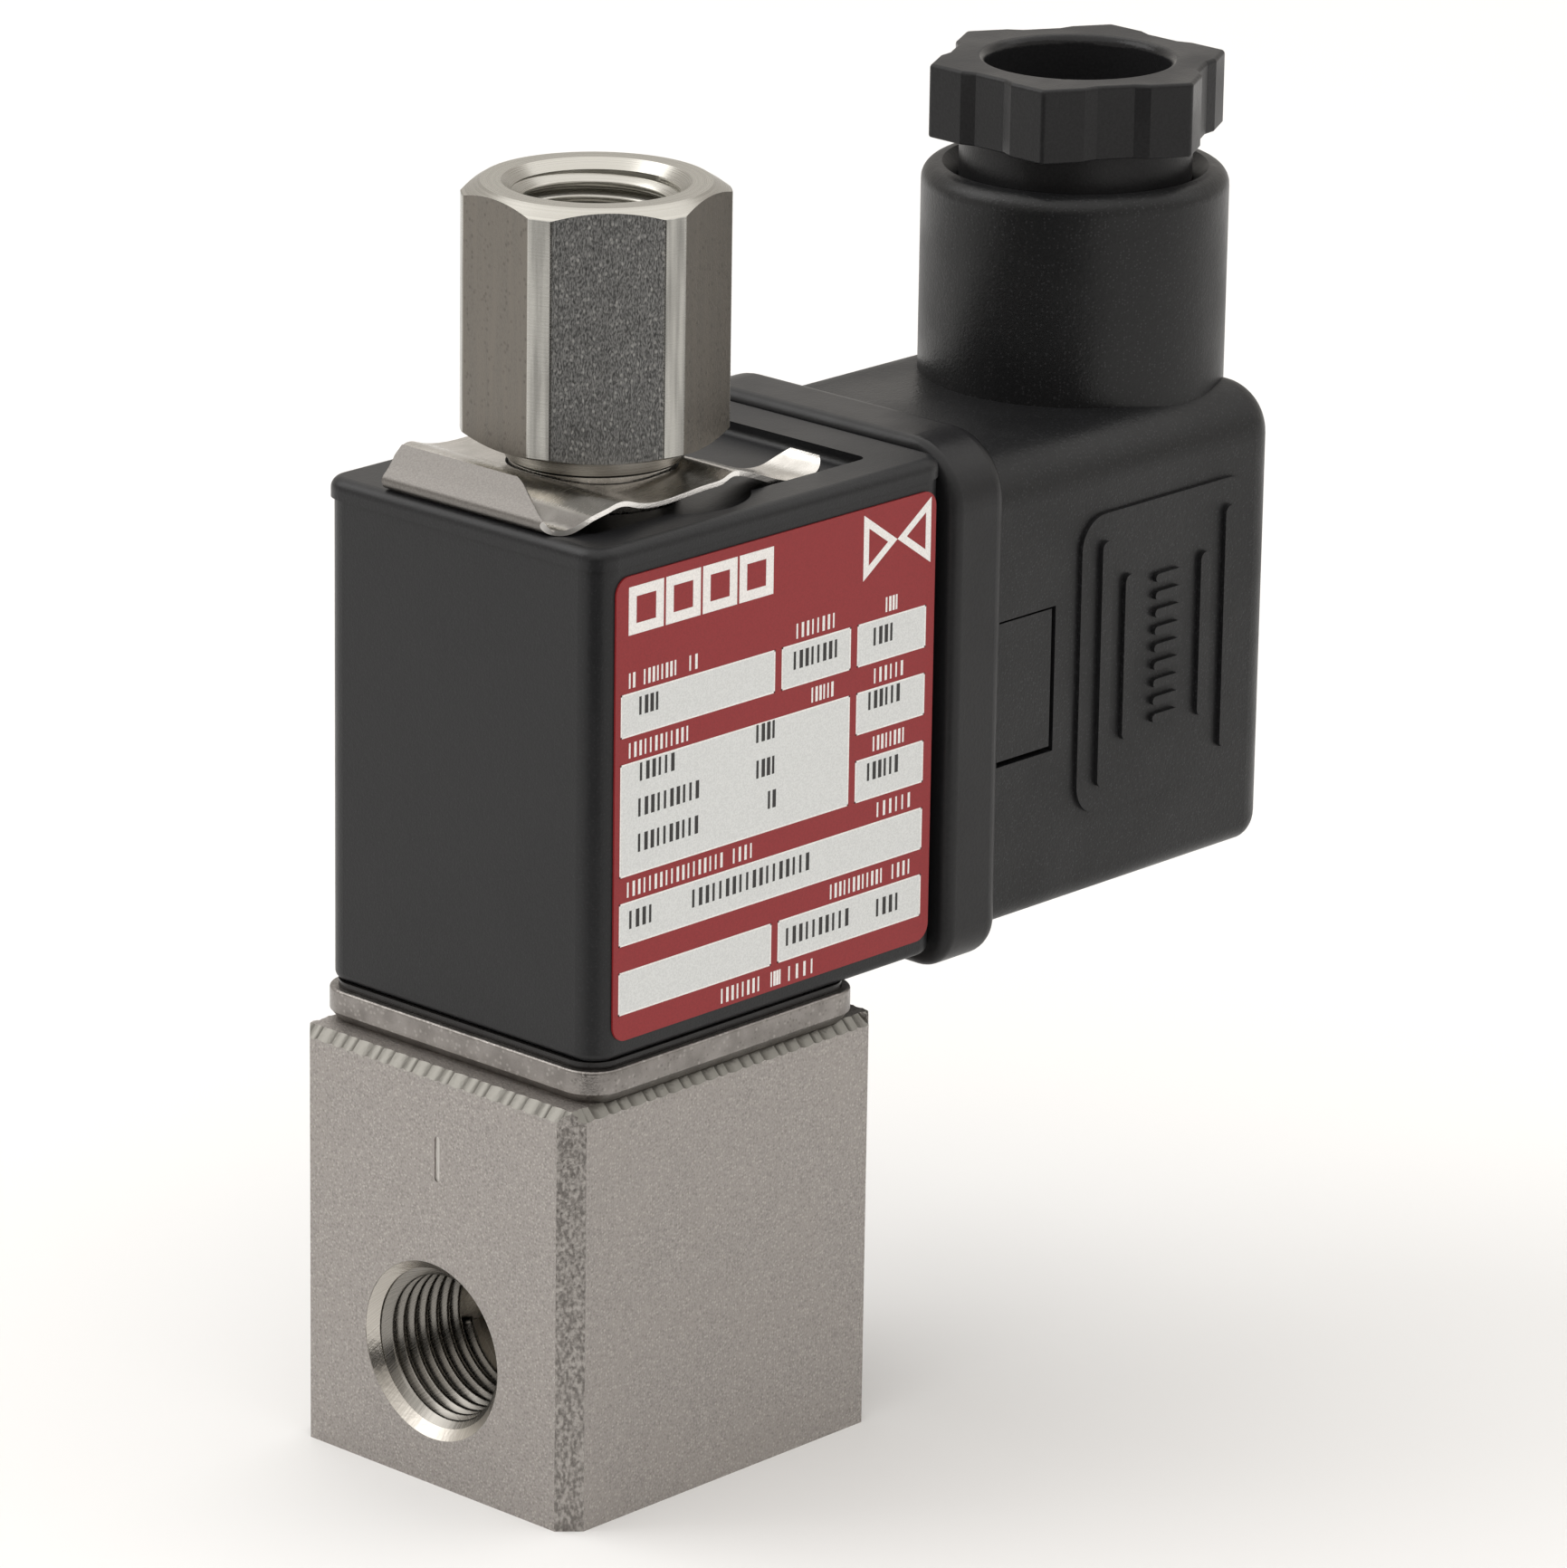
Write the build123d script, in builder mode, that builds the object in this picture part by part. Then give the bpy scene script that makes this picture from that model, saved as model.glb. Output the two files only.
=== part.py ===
from build123d import *
import os
from math import sin, sqrt

os.makedirs("parts", exist_ok=True)

# Miniature 3/2 solenoid valve, millimetres.
# The origin is the centre of the body's underside. +Z runs up the plunger axis,
# +X points at the electrical connector, the name plate is on the -Y face.

# ---- Driving dimensions ------------------------------------------------------

# G1/8 pipe ports: the bores are at the thread's major radius
PORT_R = 9.728 / 2
PORT_MOUTH_R = 5.45
PORT_Z = 8.3
PORT_DEPTH = 8.5

# Valve body
BODY_X, BODY_Y, BODY_H = 26.0, 22.6, 25.7
BODY_CORNER = 1.2
BODY_TOP_EDGE = 0.55
CUTTER_PITCH = 1.0
CUTTER_DEPTH = 0.08
MOUNT_HOLE_R = 1.5
MOUNT_HOLE_DEPTH = 5.5
MOUNT_SPACING_X, MOUNT_SPACING_Y = 18.0, 16.0
RECESS_R, RECESS_FLOOR = 8.0, 22.9
CHAMBER_R, CHAMBER_FLOOR = 5.6, 16.0
ORIFICE_R = 0.8
NOZZLE_TOP = 17.5
PASSAGE_R = 0.9
PASSAGE_X = 4.6
MARK_Z, MARK_Y, MARK_LENGTH = 20.3, 0.45, 2.8
MARK_WIDTH, MARK_DEPTH = 0.4, 0.08

# Square plate that clamps the plunger tube's flange
PLATE_SIDE, PLATE_CORNER = 22.8, 2.2
PLATE_TOP = 27.7

# Plunger tube and the fixed core in its upper end
TUBE_R_IN, TUBE_R_OUT = 4.6, 4.95
TUBE_TOP = 59.85
TUBE_FLANGE_R, TUBE_FLANGE_Z = 7.9, 23.9
CORE_FACE = 41.2
SOCKET_R, SOCKET_Z = 3.0, 53.0
EXHAUST_R = 1.0

# Plunger
PLUNGER_R = 4.53
PLUNGER_Z0, PLUNGER_Z1 = 17.75, 40.3
SEAL_GAP = 0.02
STROKE = 0.6
SPRING_R, SPRING_WIRE_R = 3.5, 0.28
SPRING_POCKET = (2.9, 4.1, 32.0)

# Hexagonal exhaust adaptor
HEX_AF, HEX_CORNER_R = 14.0, 7.73
HEX_Z0, HEX_Z1 = 61.15, 76.0
HEX_TURN = 19.8
COLLAR_R = 5.2

# Coil
COIL_X0, COIL_X1, COIL_Y = -10.95, 18.0, 22.08
COIL_Z0, COIL_Z1 = 28.1, 58.5
COIL_CORNER = 1.6
COIL_BORE_R = 5.25
RIM_Z, RIM_PROUD = 57.3, 0.15
TRAY_X0, TRAY_X1, TRAY_Y, TRAY_FLOOR = -8.6, 14.2, 8.2, 57.7
BOBBIN_R, BOBBIN_TUBE_R = 8.2, 5.9
BOBBIN_Z0, BOBBIN_Z1, BOBBIN_FLANGE = 31.5, 54.5, 0.8
YOKE_T, YOKE_X0, YOKE_X1, YOKE_Y = 1.5, -8.0, 10.5, 15.0
SEAL_Z = PLATE_TOP + 0.02

# Name plate
LABEL_X0, LABEL_X1, LABEL_Z0, LABEL_Z1 = -9.6, 16.95, 29.2, 56.7
LABEL_T = 0.12

# Spring clip of strip steel
CLIP_T = 0.3
CLIP_Y0, CLIP_Y1 = -8.4, 8.9
CLIP_HOLE_R = 5.12
CLIP_FOLD = 3
CLIP_LINE = (
    (-8.85, 60.72), (-9.35, 60.3), (-9.85, 59.87), (-10.33, 59.45), (-10.6, 59.12), (-10.52, 58.82),
    (-10.12, 58.68), (-9.6, 58.82), (-8.7, 59.34), (-7.5, 59.72), (-6.7, 59.88), (-6.0, 59.84),
    (-5.3, 59.62), (0.9, 59.52), (1.9, 59.6), (2.7, 59.85), (3.3, 59.75),
    (5.2, 59.1), (7.2, 58.35), (9.0, 58.05), (10.4, 58.35), (11.2, 58.95),
)
TONGUE_IN, TONGUE_OUT, TONGUE_X = 4.3, 7.95, 3.2
CLIP_END = 11.3
LIP_Y1 = 6.6
# The ends of the clip: at +Y in plan, at -Y in plan round the valley and then up the lip
CLIP_EAR = ((-11.3, 6.55), (-9.5, 6.62), (-8.6, 7.2), (-7.3, 8.4), (-5.6, 8.85), (-3.0, 8.7), (0.0, 8.42), (3.3, 8.4))
CLIP_EDGE = ((-10.9, -5.9), (-10.5, -6.7), (-9.9, -7.4), (-9.0, -8.0), (-7.8, -8.35), (-6.6, -8.45))
LIP_EDGE = ((-6.9, -0.5), (-6.15, -0.2), (-5.42, 0.24), (-4.35, 0.95), (-3.27, 1.67), (-2.35, 2.05))

# Gasket and connector
GASKET_X1 = 22.8
GASKET_Y, GASKET_Z0, GASKET_Z1 = 23.5, 26.7, 58.95
CONN_X1, CONN_Y = 48.3, 22.0
CONN_Z0, CONN_Z1 = 28.4, 57.2
CAVITY_X1, CAVITY_Y, CAVITY_Z0, CAVITY_Z1 = 46.0, 16.8, 32.0, 51.5
TOWER_X, TOWER_R, TOWER_TOP = 41.3, 9.3, 70.0
TOWER_BORE_R, TOWER_MOUTH_R = 7.12, 8.05
GROMMET_Z0, GROMMET_Z1 = 54.0, 61.5
PAD_X, PAD_Z = (29.9, 45.2), (33.6, 52.2)
PAD_PROUD = 0.25
RIB_W, RIB_PROUD = 0.95, 0.3
RIBS = ((-5.65, 15.3), (-3.5, 10.35), (3.4, 10.35), (5.6, 15.3))
MOTIF_PITCH = 1.1
LATCH_X1, LATCH_Z, LATCH_SLOT, LATCH_CREASE = 27.9, (38.3, 47.3), 0.35, 0.12

# Terminals: 6.3 x 0.8 blades
BLADE_W, BLADE_T = 6.3, 0.8
BLADE_X0, BLADE_X1 = 12.0, 30.0
LINE_Y, LINE_Z = 5.5, 42.8
EARTH_Z = 35.5
CONTACT_X0, CONTACT_X1, CONTACT_T = 23.6, 36.0, 3.2
CLAMP_X = 33.5
CLAMP_R, CLAMP_HEAD_R, CLAMP_HEAD_H = 1.2, 1.7, 1.4

# Fixing screw
SCREW_R, SCREW_X0, SCREW_HEAD_R = 1.5, 14.0, 2.8
SCREW_SEAT = 46.9

# Cable gland
WASHER_Z0, WASHER_Z1 = 61.6, 62.4
NUT_Z0, NUT_HEAD_Z, NUT_Z1 = 62.5, 72.0, 76.5
NUT_NECK_R, NUT_BORE_R = 7.05, 5.55
NUT_AF, NUT_SINK, NUT_TURN = 16.1, 0.35, 28.5


def save(piece, name):
    """Label one finished piece and write it as its own STEP file."""
    piece.part.label = name
    export_step(piece.part, f"parts/{name}.step")


def span(a, b):
    """Middle and length of a stretch."""
    return (a + b) / 2, b - a


def shifted(points, distance):
    """The points of an open line, moved sideways by a distance."""
    moved = []
    for index, (x, z) in enumerate(points):
        before = points[max(index - 1, 0)]
        after = points[min(index + 1, len(points) - 1)]
        run = Vector(after[0] - before[0], after[1] - before[1]).normalized()
        moved.append((x - run.Y * distance, z + run.X * distance))
    return moved


# ---- Valve body and plunger tube ---------------------------------------------

with BuildPart() as valve_body:
    with BuildSketch():
        Rectangle(BODY_X, BODY_Y)
        chamfer(vertices(), BODY_CORNER)
    extrude(amount=BODY_H)

    # Top edges: a milled bevel with the cutter's marks across it
    corner_side = BODY_CORNER * sqrt(2)
    corner_reach = (BODY_X + BODY_Y) / 2 - BODY_CORNER
    bevels = [
        (0, BODY_X / 2, BODY_Y), (90, BODY_Y / 2, BODY_X),
        (180, BODY_X / 2, BODY_Y), (270, BODY_Y / 2, BODY_X),
    ]
    bevels += [(angle, corner_reach / sqrt(2), corner_side) for angle in (45, 135, 225, 315)]
    for angle, reach, length in bevels:
        outward = Vector(1, 0, 0).rotate(Axis.Z, angle)
        along = Vector(0, 1, 0).rotate(Axis.Z, angle)
        middle = outward * (reach - BODY_TOP_EDGE / 2) + Vector(0, 0, BODY_H - BODY_TOP_EDGE / 2)
        marks = round(length / CUTTER_PITCH)
        pitch = length / marks
        cuts = [-length / 2]
        for index in range(1, marks):
            cuts.append(-length / 2 + pitch * (index + 0.14 * sin(2.3 * index)))
        cuts.append(length / 2)
        with BuildSketch(Plane(origin=middle, x_dir=along, z_dir=outward + Vector(0, 0, -1))):
            with BuildLine():
                for start, end in zip(cuts, cuts[1:]):
                    ThreePointArc((start, 0), ((start + end) / 2, -CUTTER_DEPTH), (end, 0))
                Polyline((length / 2, 0), (length / 2, 1.5), (-length / 2, 1.5), (-length / 2, 0))
            make_face()
        extrude(amount=BODY_TOP_EDGE, both=True, mode=Mode.SUBTRACT)

    # Ports 1 and 2
    for side in (-1, 1):
        with Locations(Plane(origin=(side * BODY_X / 2, 0, PORT_Z), x_dir=(0, 1, 0), z_dir=(side, 0, 0))):
            CounterSinkHole(PORT_R, PORT_MOUTH_R, depth=PORT_DEPTH, counter_sink_angle=90)

    # Recess, plunger chamber and the nozzle that the lower seal closes
    with BuildSketch(Plane.XY.offset(BODY_H)):
        Circle(RECESS_R)
    extrude(amount=RECESS_FLOOR - BODY_H, mode=Mode.SUBTRACT)
    with BuildSketch(Plane.XY.offset(RECESS_FLOOR)):
        Circle(CHAMBER_R)
    extrude(amount=CHAMBER_FLOOR - RECESS_FLOOR, mode=Mode.SUBTRACT)
    with BuildSketch(Plane.XY.offset(CHAMBER_FLOOR)):
        Circle(2.0)
    extrude(amount=NOZZLE_TOP - CHAMBER_FLOOR, taper=15)
    with BuildSketch(Plane.XY.offset(PORT_Z)):
        Circle(ORIFICE_R)
    extrude(amount=NOZZLE_TOP - PORT_Z, mode=Mode.SUBTRACT)
    with BuildSketch(Plane.YZ):
        with Locations((0, PORT_Z)):
            Circle(ORIFICE_R)
    extrude(amount=PORT_DEPTH - BODY_X / 2, mode=Mode.SUBTRACT)
    with BuildSketch(Plane.XY.offset(PORT_Z)):
        with Locations((PASSAGE_X, 0)):
            Circle(PASSAGE_R)
    extrude(amount=CHAMBER_FLOOR - PORT_Z, mode=Mode.SUBTRACT)

    # Four M3 holes in the underside
    with BuildSketch(Plane.XY):
        with GridLocations(MOUNT_SPACING_X, MOUNT_SPACING_Y, 2, 2):
            Circle(MOUNT_HOLE_R)
    extrude(amount=MOUNT_HOLE_DEPTH, mode=Mode.SUBTRACT)

    # One engraved stroke over port 1, two over port 2
    for side, strokes in ((-1, 1), (1, 2)):
        place = Vector(side * BODY_X / 2, side * MARK_Y, MARK_Z)
        with BuildSketch(Plane(origin=place, x_dir=(0, side, 0), z_dir=(side, 0, 0))):
            with GridLocations(1.1, 1, strokes, 1):
                SlotOverall(MARK_LENGTH, MARK_WIDTH, rotation=90)
        extrude(amount=-MARK_DEPTH, mode=Mode.SUBTRACT)
save(valve_body, "valve_body")

with BuildPart() as flange_plate:
    with BuildSketch(Plane.XY.offset(BODY_H)):
        Rectangle(PLATE_SIDE, PLATE_SIDE)
        fillet(vertices(), PLATE_CORNER)
    extrude(amount=PLATE_TOP - BODY_H)
    chamfer(faces().sort_by(Axis.Z)[0].outer_wire().edges(), 0.62, 0.5)
    fillet(faces().sort_by(Axis.Z)[-1].outer_wire().edges(), 0.18)
    with BuildSketch(Plane.XY.offset(BODY_H)):
        Circle(COIL_BORE_R)
    extrude(amount=PLATE_TOP - BODY_H, mode=Mode.SUBTRACT)
save(flange_plate, "flange_plate")

with BuildPart() as core_tube:
    with BuildSketch(Plane.XY.offset(TUBE_FLANGE_Z)):
        Circle(TUBE_FLANGE_R)
    extrude(amount=BODY_H - TUBE_FLANGE_Z)
    with BuildSketch(Plane.XY.offset(BODY_H)):
        Circle(TUBE_R_OUT)
    extrude(amount=TUBE_TOP - BODY_H)
    with BuildSketch(Plane.XY.offset(TUBE_FLANGE_Z)):
        Circle(TUBE_R_IN)
    extrude(amount=TUBE_TOP - TUBE_FLANGE_Z, mode=Mode.SUBTRACT)
save(core_tube, "core_tube")

with BuildPart() as body_o_ring:
    with BuildSketch(Plane.XZ):
        with Locations((7.0, (RECESS_FLOOR + TUBE_FLANGE_Z) / 2)):
            Circle((TUBE_FLANGE_Z - RECESS_FLOOR) / 2)
    revolve(axis=Axis.Z)
save(body_o_ring, "body_o_ring")

with BuildPart() as fixed_core:
    with BuildSketch(Plane.XY.offset(CORE_FACE)):
        Circle(TUBE_R_IN - 0.01)
    extrude(amount=TUBE_TOP - CORE_FACE)
    with BuildSketch(Plane.XY.offset(CORE_FACE)):
        Circle(1.5)
    extrude(amount=-0.2)
    with BuildSketch(Plane.XY.offset(CORE_FACE - 0.2)):
        Circle(EXHAUST_R)
    extrude(amount=SOCKET_Z - CORE_FACE + 0.2, mode=Mode.SUBTRACT)
    with BuildSketch(Plane.XY.offset(SOCKET_Z)):
        Circle(SOCKET_R)
    extrude(amount=TUBE_TOP - SOCKET_Z, mode=Mode.SUBTRACT)
    with BuildSketch(Plane.XY.offset(TUBE_TOP)):
        Circle(3.9)
    extrude(amount=-0.9, mode=Mode.SUBTRACT)
    with BuildSketch(Plane.XY.offset(CORE_FACE)):
        Circle(2.6)
        Circle(1.9, mode=Mode.SUBTRACT)
    extrude(amount=1.2, mode=Mode.SUBTRACT)
save(fixed_core, "fixed_core")

with BuildPart() as shading_ring:
    with BuildSketch(Plane.XY.offset(CORE_FACE)):
        Circle(2.6)
        Circle(1.9, mode=Mode.SUBTRACT)
    extrude(amount=1.2)
save(shading_ring, "shading_ring")

with BuildPart() as exhaust_adaptor:
    with BuildSketch(Plane.XY.offset(HEX_Z0)):
        RegularPolygon(HEX_AF / 2, 6, major_radius=False, rotation=HEX_TURN)
    extrude(amount=HEX_Z1 - HEX_Z0)
    # Turned envelope: cylinder over the corners, 30 degree bevels at both ends
    with BuildSketch(Plane.XZ):
        with BuildLine():
            Polyline(
                (0, HEX_Z0), (6.9, HEX_Z0), (HEX_CORNER_R, HEX_Z0 + 0.35), (HEX_CORNER_R, HEX_Z1 - 0.65),
                (6.65, HEX_Z1), (0, HEX_Z1), close=True,
            )
        make_face()
    revolve(axis=Axis.Z, mode=Mode.INTERSECT)
    with BuildSketch(Plane.XY.offset(TUBE_TOP)):
        Circle(COLLAR_R)
    extrude(amount=HEX_Z0 - TUBE_TOP)
    chamfer(faces().sort_by(Axis.Z)[0].outer_wire().edges(), 0.15)
    with BuildSketch(Plane.XY.offset(SOCKET_Z)):
        Circle(SOCKET_R - 0.02)
    extrude(amount=TUBE_TOP - SOCKET_Z)
    with Locations((0, 0, HEX_Z1)):
        CounterSinkHole(PORT_R, PORT_MOUTH_R, depth=PORT_DEPTH, counter_sink_angle=90)
    with BuildSketch(Plane.XY.offset(SOCKET_Z)):
        Circle(EXHAUST_R)
    extrude(amount=HEX_Z1 - PORT_DEPTH - SOCKET_Z, mode=Mode.SUBTRACT)
save(exhaust_adaptor, "exhaust_adaptor")

with BuildPart() as adaptor_o_ring:
    with BuildSketch(Plane.XZ):
        with Locations((3.45, TUBE_TOP - 0.45)):
            Circle(0.43)
    revolve(axis=Axis.Z)
save(adaptor_o_ring, "adaptor_o_ring")

# ---- Plunger -----------------------------------------------------------------

LOWER_SEAL_Z = NOZZLE_TOP + SEAL_GAP
UPPER_SEAL_Z = CORE_FACE - 0.2 - STROKE - SEAL_GAP

with BuildPart() as plunger:
    with BuildSketch(Plane.XY.offset(PLUNGER_Z0)):
        Circle(PLUNGER_R)
    extrude(amount=PLUNGER_Z1 - PLUNGER_Z0)
    chamfer(edges().filter_by(GeomType.CIRCLE), 0.3)
    with BuildSketch(Plane.XY.offset(LOWER_SEAL_Z)):
        Circle(2.6)
    extrude(amount=1.5, mode=Mode.SUBTRACT)
    with BuildSketch(Plane.XY.offset(UPPER_SEAL_Z)):
        Circle(2.0)
    extrude(amount=-1.5, mode=Mode.SUBTRACT)
    with BuildSketch(Plane.XY.offset(PLUNGER_Z1)):
        Circle(SPRING_POCKET[1])
        Circle(SPRING_POCKET[0], mode=Mode.SUBTRACT)
    extrude(amount=SPRING_POCKET[2] - PLUNGER_Z1, mode=Mode.SUBTRACT)
save(plunger, "plunger")

with BuildPart() as lower_seal:
    with BuildSketch(Plane.XY.offset(LOWER_SEAL_Z)):
        Circle(2.6)
    extrude(amount=1.5)
save(lower_seal, "lower_seal")

with BuildPart() as upper_seal:
    with BuildSketch(Plane.XY.offset(UPPER_SEAL_Z)):
        Circle(2.0)
    extrude(amount=-1.5)
save(upper_seal, "upper_seal")

with BuildPart() as plunger_spring:
    spring_z0 = SPRING_POCKET[2] + SPRING_WIRE_R
    spring_z1 = CORE_FACE - SPRING_WIRE_R
    with BuildLine():
        Helix(pitch=1.15, height=spring_z1 - spring_z0, radius=SPRING_R, center=(0, 0, spring_z0))
    with BuildSketch(Plane(origin=(SPRING_R, 0, spring_z0), x_dir=(1, 0, 0), z_dir=(0, 1, 0))):
        Circle(SPRING_WIRE_R)
    sweep(is_frenet=True)
save(plunger_spring, "plunger_spring")

# ---- Coil --------------------------------------------------------------------

coil_mid, coil_len = span(COIL_X0, COIL_X1)

with BuildPart() as coil_housing:
    with BuildSketch(Plane.XY.offset(COIL_Z0)):
        with Locations((coil_mid, 0)):
            Rectangle(coil_len, COIL_Y)
        fillet(vertices(), COIL_CORNER)
    extrude(amount=COIL_Z1 - COIL_Z0)
    fillet(faces().sort_by(Axis.Z)[0].outer_wire().edges(), 0.5)
    # Moulded rim, a little proud of the sides except on the gasket face
    with BuildSketch(Plane.XY.offset(RIM_Z)):
        with Locations((coil_mid - RIM_PROUD / 2, 0)):
            Rectangle(coil_len + RIM_PROUD, COIL_Y + 2 * RIM_PROUD)
        fillet(vertices(), COIL_CORNER)
    extrude(amount=COIL_Z1 - RIM_Z)
    fillet(faces().sort_by(Axis.Z)[-1].outer_wire().edges(), 0.7)
    # Tray in the top, widened to -Y where the clip passes over the rim
    with BuildSketch(Plane.XY.offset(COIL_Z1)):
        tray_mid, tray_len = span(TRAY_X0, TRAY_X1)
        with Locations((tray_mid, 0)):
            RectangleRounded(tray_len, 2 * TRAY_Y, 0.6)
        with Locations((0.9, -5.2)):
            Circle(4.6)
    extrude(amount=TRAY_FLOOR - COIL_Z1, mode=Mode.SUBTRACT)
    fillet(edges().filter_by_position(Axis.Z, TRAY_FLOOR, TRAY_FLOOR), 0.4)
    # Bore, bobbin space, yoke space
    with BuildSketch(Plane.XY.offset(COIL_Z0)):
        Circle(COIL_BORE_R)
    extrude(amount=COIL_Z1 - COIL_Z0, mode=Mode.SUBTRACT)
    with BuildSketch(Plane.XY.offset(BOBBIN_Z0)):
        Circle(BOBBIN_R)
    extrude(amount=BOBBIN_Z1 - BOBBIN_Z0, mode=Mode.SUBTRACT)
    yoke_mid, yoke_len = span(YOKE_X0, YOKE_X1)
    for level in (BOBBIN_Z0 - YOKE_T, BOBBIN_Z1):
        with BuildSketch(Plane.XY.offset(level)):
            with Locations((yoke_mid, 0)):
                Rectangle(yoke_len, YOKE_Y)
        extrude(amount=YOKE_T, mode=Mode.SUBTRACT)
    with BuildSketch(Plane.XY.offset(BOBBIN_Z0 - YOKE_T)):
        with Locations((YOKE_X1 - YOKE_T / 2, 0)):
            Rectangle(YOKE_T, YOKE_Y)
    extrude(amount=BOBBIN_Z1 - BOBBIN_Z0 + 2 * YOKE_T, mode=Mode.SUBTRACT)
    # Slots for the blades and the thread for the fixing screw
    with BuildSketch(Plane.YZ.offset(COIL_X1)):
        with Locations((-LINE_Y, LINE_Z), (LINE_Y, LINE_Z)):
            Rectangle(BLADE_T, BLADE_W)
        with Locations((0, EARTH_Z)):
            Rectangle(BLADE_W, BLADE_T)
    extrude(amount=BLADE_X0 - COIL_X1, mode=Mode.SUBTRACT)
    with BuildSketch(Plane.YZ.offset(COIL_X1)):
        with Locations((0, LINE_Z)):
            Circle(SCREW_R)
    extrude(amount=SCREW_X0 - COIL_X1, mode=Mode.SUBTRACT)
save(coil_housing, "coil_housing")

with BuildPart() as coil_bobbin:
    with BuildSketch(Plane.XY.offset(BOBBIN_Z0)):
        Circle(BOBBIN_R)
    extrude(amount=BOBBIN_Z1 - BOBBIN_Z0)
    with BuildSketch(Plane.XY.offset(BOBBIN_Z0 + BOBBIN_FLANGE)):
        Circle(BOBBIN_R)
        Circle(BOBBIN_TUBE_R, mode=Mode.SUBTRACT)
    extrude(amount=BOBBIN_Z1 - BOBBIN_Z0 - 2 * BOBBIN_FLANGE, mode=Mode.SUBTRACT)
    with BuildSketch(Plane.XY.offset(BOBBIN_Z0)):
        Circle(COIL_BORE_R)
    extrude(amount=BOBBIN_Z1 - BOBBIN_Z0, mode=Mode.SUBTRACT)
save(coil_bobbin, "coil_bobbin")

with BuildPart() as coil_winding:
    with BuildSketch(Plane.XY.offset(BOBBIN_Z0 + BOBBIN_FLANGE)):
        Circle(BOBBIN_R - 0.1)
        Circle(BOBBIN_TUBE_R, mode=Mode.SUBTRACT)
    extrude(amount=BOBBIN_Z1 - BOBBIN_Z0 - 2 * BOBBIN_FLANGE)
save(coil_winding, "coil_winding")

with BuildPart() as yoke:
    for level in (BOBBIN_Z0 - YOKE_T, BOBBIN_Z1):
        with BuildSketch(Plane.XY.offset(level)):
            with Locations((yoke_mid, 0)):
                Rectangle(yoke_len, YOKE_Y)
            Circle(COIL_BORE_R, mode=Mode.SUBTRACT)
        extrude(amount=YOKE_T)
    with BuildSketch(Plane.XY.offset(BOBBIN_Z0 - YOKE_T)):
        with Locations((YOKE_X1 - YOKE_T / 2, 0)):
            Rectangle(YOKE_T, YOKE_Y)
    extrude(amount=BOBBIN_Z1 - BOBBIN_Z0 + 2 * YOKE_T)
save(yoke, "yoke")

with BuildPart() as name_plate:
    with BuildSketch(Plane.XZ.offset(COIL_Y / 2)):
        label_mid, label_len = span(LABEL_X0, LABEL_X1)
        label_level, label_height = span(LABEL_Z0, LABEL_Z1)
        with Locations((label_mid, label_level)):
            RectangleRounded(label_len, label_height, 1.0)
    extrude(amount=LABEL_T)
save(name_plate, "name_plate")

with BuildPart() as coil_base_seal:
    with BuildSketch(Plane.XY.offset(SEAL_Z)):
        Rectangle(PLATE_SIDE - 0.9, PLATE_SIDE - 0.9)
        fillet(vertices(), PLATE_CORNER - 0.3)
        Circle(COIL_BORE_R, mode=Mode.SUBTRACT)
    extrude(amount=COIL_Z0 - SEAL_Z)
save(coil_base_seal, "coil_base_seal")

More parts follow.
